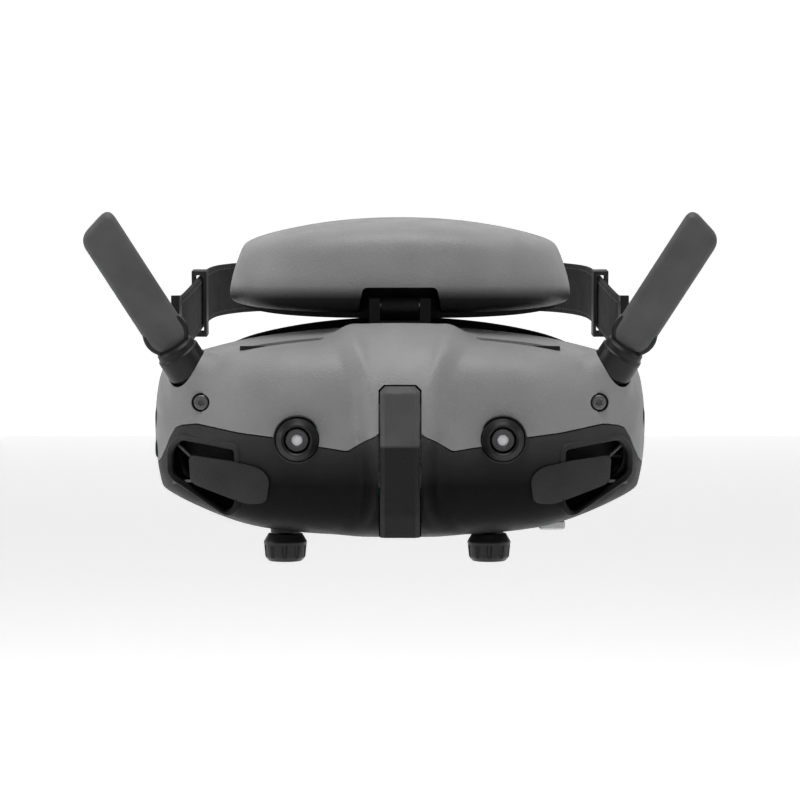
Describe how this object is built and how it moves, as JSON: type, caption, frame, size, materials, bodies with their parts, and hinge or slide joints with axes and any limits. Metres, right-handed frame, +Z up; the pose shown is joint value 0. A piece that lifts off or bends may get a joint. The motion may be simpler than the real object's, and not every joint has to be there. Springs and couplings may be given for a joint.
{
  "type": "fpv goggles",
  "caption": "Head-worn FPV video goggles with wrapped visor housing, front cameras, folding blade antennas, hinged forehead battery module, eyepiece knobs and an elastic headband.",
  "frame": {"origin": "between the wearer's eyes, on the plane where the face cushion meets the bridge of the nose", "axes": "+Y runs from the goggles back through the wearer's head, so the front faces -Y; +Z is up; +X is the wearer's left"},
  "size_m": [0.2138, 0.2637, 0.1204],
  "materials": {
    "dark_plastic": "fine grain",
    "battery_wrap": "heat-shrink film",
    "satin_plastic": "satin",
    "black_plastic": "matte",
    "foam_fabric": "brushed cloth over foam",
    "painted_grey": "fine matte texture",
    "woven_band": "woven elastic",
    "aluminium": "bead blasted",
    "steel": "satin",
    "lens_glass": "coated",
    "circuit_board": "solder mask"
  },
  "bodies": {
    "housing": {"center_window": "satin_plastic", "cushion_carrier": "black_plastic", "face_cushion": "foam_fabric", "front_lower_shell": "black_plastic", "front_upper_shell": "painted_grey", "headband": "woven_band", "heat_sink": "aluminium", "hinge_bracket": "dark_plastic", "hinge_pin": "steel", "inner_chassis": "black_plastic", "left_band_lug": "black_plastic", "left_camera_bezel": "black_plastic", "left_camera_lens": "lens_glass", "left_fan_frame": "black_plastic", "left_shell_screw": "steel", "left_top_grille": "dark_plastic", "left_vent_panel": "dark_plastic", "lower_guide_rail": "steel", "main_board": "circuit_board", "proximity_sensor": "lens_glass", "rear_frame": "black_plastic", "right_band_lug": "black_plastic", "right_camera_bezel": "black_plastic", "right_camera_lens": "lens_glass", "right_shell_screw": "steel", "right_top_grille": "dark_plastic", "right_vent_panel": "dark_plastic", "upper_guide_rail": "steel", "usb_port": "steel"},
    "right_antenna_base": {"right_antenna_socket": "black_plastic", "right_antenna_pin": "steel"},
    "right_antenna": {"right_antenna_blade": "dark_plastic"},
    "right_eyepiece_carriage": {"right_carriage": "dark_plastic"},
    "right_eyepiece": {"right_lens_barrel": "black_plastic", "right_eyepiece_lens": "lens_glass", "right_display": "lens_glass"},
    "right_plunger": {"right_knob_stem": "black_plastic"},
    "right_dial": {"right_knob": "dark_plastic"},
    "right_slider": {"right_band_slider": "dark_plastic"},
    "left_antenna_base": {"left_antenna_socket": "black_plastic", "left_antenna_pin": "steel"},
    "left_antenna": {"left_antenna_blade": "dark_plastic"},
    "left_eyepiece_carriage": {"left_carriage": "dark_plastic"},
    "left_eyepiece": {"left_lens_barrel": "black_plastic", "left_eyepiece_lens": "lens_glass", "left_display": "lens_glass"},
    "left_plunger": {"left_knob_stem": "black_plastic"},
    "left_dial": {"left_knob": "dark_plastic"},
    "left_slider": {"left_band_slider": "dark_plastic"},
    "fan_rotor": {"left_fan_rotor": "dark_plastic"},
    "forehead_module": {"forehead_shell": "painted_grey", "forehead_base": "black_plastic", "forehead_cushion": "foam_fabric", "battery_pack": "battery_wrap", "hinge_arm": "dark_plastic"},
    "five_way_button": {"five_way_button": "dark_plastic"},
    "back_button": {"back_button": "dark_plastic"},
    "power_button": {"power_button": "dark_plastic"}
  },
  "joints": [
    {"name": "right_antenna_swivel", "type": "hinge", "parent": "housing", "child": "right_antenna_base", "pos_m": [-0.0743, -0.055, 0.0296], "axis": [-0.4969, -0.309, 0.8109], "range_deg": [-60, 60]},
    {"name": "right_antenna_fold", "type": "hinge", "parent": "right_antenna_base", "child": "right_antenna", "pos_m": [-0.07927, -0.05809, 0.03771], "axis": [-0.1615, 0.9511, 0.2635], "range_deg": [-15, 90]},
    {"name": "right_ipd_slide", "type": "slide", "parent": "housing", "child": "right_eyepiece_carriage", "axis": [1, 0, 0], "range_m": [0, 0.006]},
    {"name": "right_focus_slide", "type": "slide", "parent": "right_eyepiece_carriage", "child": "right_eyepiece", "axis": [0, 1, 0], "range_m": [-0.00198, 0.00198]},
    {"name": "right_lock_slide", "type": "slide", "parent": "right_eyepiece_carriage", "child": "right_plunger", "axis": [0, 0, -1], "range_m": [0, 0.003]},
    {"name": "right_focus_spin", "type": "hinge", "parent": "right_plunger", "child": "right_dial", "pos_m": [-0.0394, -0.042, -0.036], "axis": [0, 0, 1], "range_deg": [-150, 150]},
    {"name": "right_slider_slide", "type": "slide", "parent": "housing", "child": "right_slider", "axis": [0.0237, 0.9958, 0.0889], "range_m": [-0.015, 0.015]},
    {"name": "left_antenna_swivel", "type": "hinge", "parent": "housing", "child": "left_antenna_base", "pos_m": [0.0743, -0.055, 0.0296], "axis": [0.4969, -0.309, 0.8109], "range_deg": [-60, 60]},
    {"name": "left_antenna_fold", "type": "hinge", "parent": "left_antenna_base", "child": "left_antenna", "pos_m": [0.07927, -0.05809, 0.03771], "axis": [-0.1615, -0.9511, -0.2635], "range_deg": [-15, 90]},
    {"name": "left_ipd_slide", "type": "slide", "parent": "housing", "child": "left_eyepiece_carriage", "axis": [-1, 0, 0], "range_m": [0, 0.006]},
    {"name": "left_focus_slide", "type": "slide", "parent": "left_eyepiece_carriage", "child": "left_eyepiece", "axis": [0, 1, 0], "range_m": [-0.00198, 0.00198]},
    {"name": "left_lock_slide", "type": "slide", "parent": "left_eyepiece_carriage", "child": "left_plunger", "axis": [0, 0, -1], "range_m": [0, 0.003]},
    {"name": "left_focus_spin", "type": "hinge", "parent": "left_plunger", "child": "left_dial", "pos_m": [0.0306, -0.042, -0.036], "axis": [0, 0, 1], "range_deg": [-150, 150]},
    {"name": "left_slider_slide", "type": "slide", "parent": "housing", "child": "left_slider", "axis": [-0.0237, 0.9958, 0.0889], "range_m": [-0.015, 0.015]},
    {"name": "fan_spin", "type": "hinge", "parent": "housing", "child": "fan_rotor", "pos_m": [0.0675, -0.0436, -0.004], "axis": [0, 1, 0], "continuous": true},
    {"name": "forehead_tilt", "type": "hinge", "parent": "housing", "child": "forehead_module", "pos_m": [0, -0.036, 0.047], "axis": [1, 0, 0], "range_deg": [0, 25]},
    {"name": "five_way_press", "type": "slide", "parent": "housing", "child": "five_way_button", "axis": [1, 0, 0], "range_m": [0, 0.0008], "stiffness_N_per_m": 600},
    {"name": "back_press", "type": "slide", "parent": "housing", "child": "back_button", "axis": [1, 0, 0], "range_m": [0, 0.0008], "stiffness_N_per_m": 600},
    {"name": "power_press", "type": "slide", "parent": "housing", "child": "power_button", "axis": [-1, 0, 0], "range_m": [0, 0.0008], "stiffness_N_per_m": 600}
  ],
  "couplings": [
    {"joint": "right_focus_spin", "follows": "right_focus_slide", "rad_per_m": 1315.8},
    {"joint": "left_focus_spin", "follows": "left_focus_slide", "rad_per_m": 1315.8}
  ]
}
